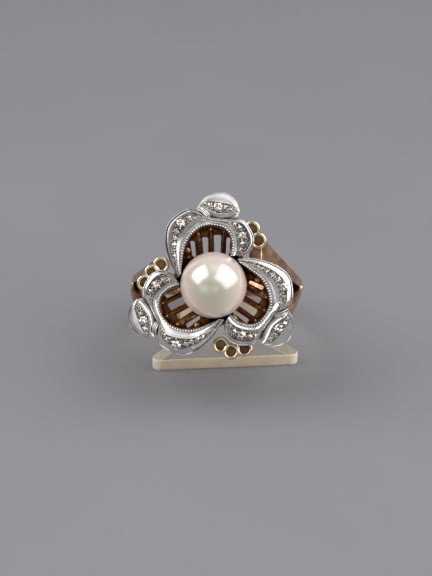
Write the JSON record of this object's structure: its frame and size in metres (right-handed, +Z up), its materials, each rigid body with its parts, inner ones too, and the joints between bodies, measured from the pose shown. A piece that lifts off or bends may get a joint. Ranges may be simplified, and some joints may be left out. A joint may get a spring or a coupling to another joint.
{
  "type": "pearl cocktail ring on a clear clip stand",
  "caption": "Cocktail ring with a round pearl between stone-set pinwheel petals over a pierced basket, forked shoulders and band, held upright in a clear curled clip stand.",
  "frame": {"origin": "on the floor, at the middle of the footprint of ring and stand", "axes": "+Z up; the head faces -Y and leans back 30 degrees; X runs across the shoulders; the clip's curl is at +Y"},
  "size_m": [0.0216, 0.0294, 0.0252],
  "materials": {
    "rose_gold": "polished rose gold",
    "yellow_gold": "polished yellow gold",
    "white_gold": "polished white gold, milgrain edges",
    "pearl": "nacre lustre",
    "diamond": "clear cut stone",
    "acrylic": "clear, slightly yellowed acrylic"
  },
  "bodies": {
    "root": {"shank": "rose_gold", "gallery": "yellow_gold", "loops_a": "yellow_gold", "loops_b": "yellow_gold", "loops_c": "yellow_gold", "petal_a": "white_gold", "petal_b": "white_gold", "petal_c": "white_gold", "pearl_cup": "yellow_gold", "pearl": "pearl", "crescent_stone_a": "diamond", "crescent_stone_b": "diamond", "crescent_stone_c": "diamond", "side_stone_a": "diamond", "side_stone_b": "diamond", "side_stone_c": "diamond", "tip_stone_a": "diamond", "tip_stone_b": "diamond", "tip_stone_c": "diamond", "pave_a": "diamond", "pave_b": "diamond", "pave_c": "diamond", "clip_stand": "acrylic"}
  },
  "joints": []
}
